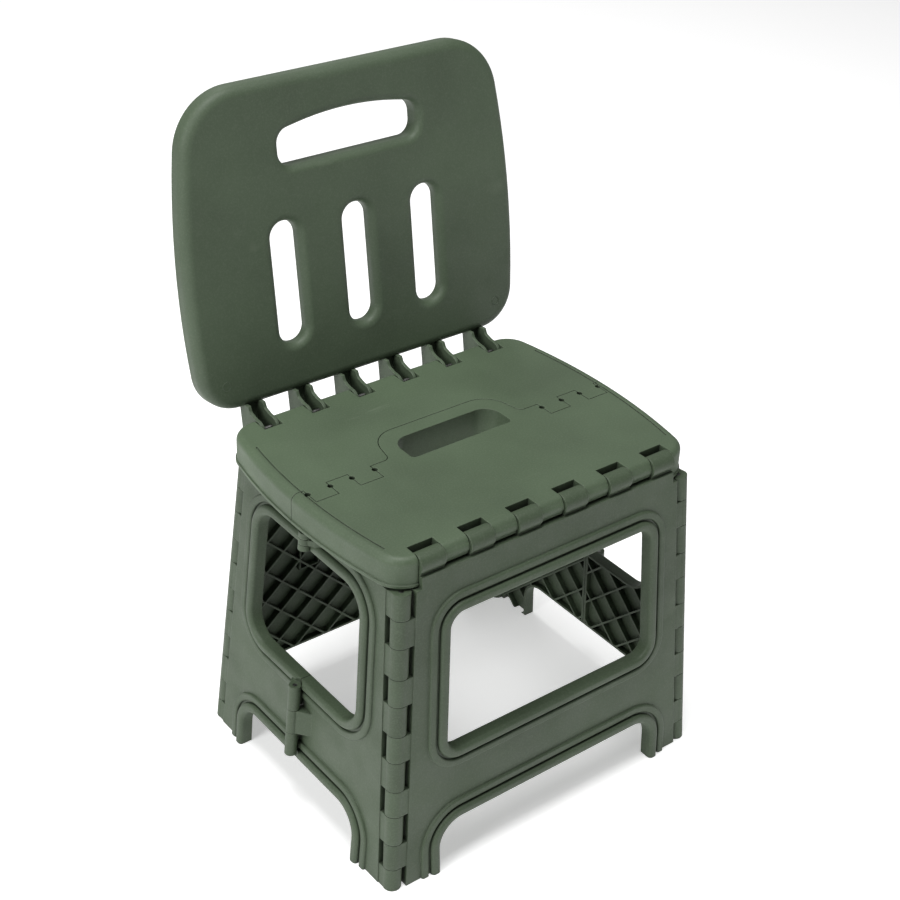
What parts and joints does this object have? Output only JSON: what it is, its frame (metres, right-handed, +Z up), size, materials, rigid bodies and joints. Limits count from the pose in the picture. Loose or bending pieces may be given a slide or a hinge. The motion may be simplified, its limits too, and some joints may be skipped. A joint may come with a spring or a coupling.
{
  "type": "folding step stool chair",
  "caption": "Folding step stool with a backrest: a seat in two halves on ribbed leg panels whose sides fold inwards as the seat folds upwards.",
  "frame": {"origin": "on the floor, under the middle of the whole chair", "axes": "+Z up, +X to the chair's left as the sitter faces, -Y the way the chair faces"},
  "size_m": [0.3516, 0.3298, 0.5615],
  "materials": {
    "moulded_plastic": "matte dark green with a fine grain",
    "steel_wire": "plain round steel"
  },
  "bodies": {
    "rear_frame": {"rear_leg_panel": "moulded_plastic", "backrest": "moulded_plastic", "rear_left_corner_rod": "steel_wire", "rear_right_corner_rod": "steel_wire", "seat_rear_rod": "steel_wire"},
    "left_rear_side": {"left_side_rear": "moulded_plastic", "left_lower_hinge_pin": "steel_wire", "left_upper_hinge_pin": "steel_wire"},
    "left_front_side": {"left_side_front": "moulded_plastic", "front_left_corner_rod": "steel_wire"},
    "front_legs": {"front_leg_panel": "moulded_plastic"},
    "right_rear_side": {"right_side_rear": "moulded_plastic", "right_lower_hinge_pin": "steel_wire", "right_upper_hinge_pin": "steel_wire"},
    "right_front_side": {"right_side_front": "moulded_plastic", "front_right_corner_rod": "steel_wire"},
    "seat_rear_half": {"seat_rear": "moulded_plastic", "seat_hinge_pin_left": "steel_wire", "seat_hinge_pin_right": "steel_wire"},
    "seat_front_half": {"seat_front": "moulded_plastic", "seat_front_rod": "steel_wire"}
  },
  "joints": [
    {"name": "fold", "type": "hinge", "parent": "rear_frame", "child": "left_rear_side", "pos_m": [-0.15725, 0.10129, 0], "axis": [0.0596, -0.0799, 0.995], "range_deg": [0, 87]},
    {"name": "left_middle_hinge", "type": "hinge", "parent": "left_rear_side", "child": "left_front_side", "pos_m": [-0.17441, -0.02562, 0], "axis": [-0.0705, 0, -0.9975], "range_deg": [0, 173.39]},
    {"name": "front_left_corner_hinge", "type": "hinge", "parent": "left_front_side", "child": "front_legs", "pos_m": [-0.15725, -0.15252, 0], "axis": [0.0596, 0.0799, 0.995], "range_deg": [0, 87]},
    {"name": "rear_right_corner_hinge", "type": "hinge", "parent": "rear_frame", "child": "right_rear_side", "pos_m": [0.15725, 0.10129, 0], "axis": [0.0596, 0.0799, -0.995], "range_deg": [0, 87.02]},
    {"name": "right_middle_hinge", "type": "hinge", "parent": "right_rear_side", "child": "right_front_side", "pos_m": [0.17441, -0.02562, 0], "axis": [-0.0705, 0, 0.9975], "range_deg": [0, 173.39]},
    {"name": "seat_rear_hinge", "type": "hinge", "parent": "rear_frame", "child": "seat_rear_half", "pos_m": [0, 0.09088, 0.2915], "axis": [-1, 0, 0], "range_deg": [0, 84.1]},
    {"name": "seat_middle_hinge", "type": "hinge", "parent": "seat_rear_half", "child": "seat_front_half", "pos_m": [0, -0.01912, 0.2745], "axis": [1, 0, 0], "range_deg": [0, 171.01]}
  ],
  "couplings": [
    {"joint": "left_middle_hinge", "follows": "fold", "ratio": 1.9928},
    {"joint": "front_left_corner_hinge", "follows": "fold", "ratio": 0.99979},
    {"joint": "rear_right_corner_hinge", "follows": "fold", "ratio": 1},
    {"joint": "right_middle_hinge", "follows": "fold", "ratio": 1.9928},
    {"joint": "seat_rear_hinge", "follows": "fold", "ratio": 0.96647},
    {"joint": "seat_middle_hinge", "follows": "fold", "ratio": 1.9654}
  ]
}
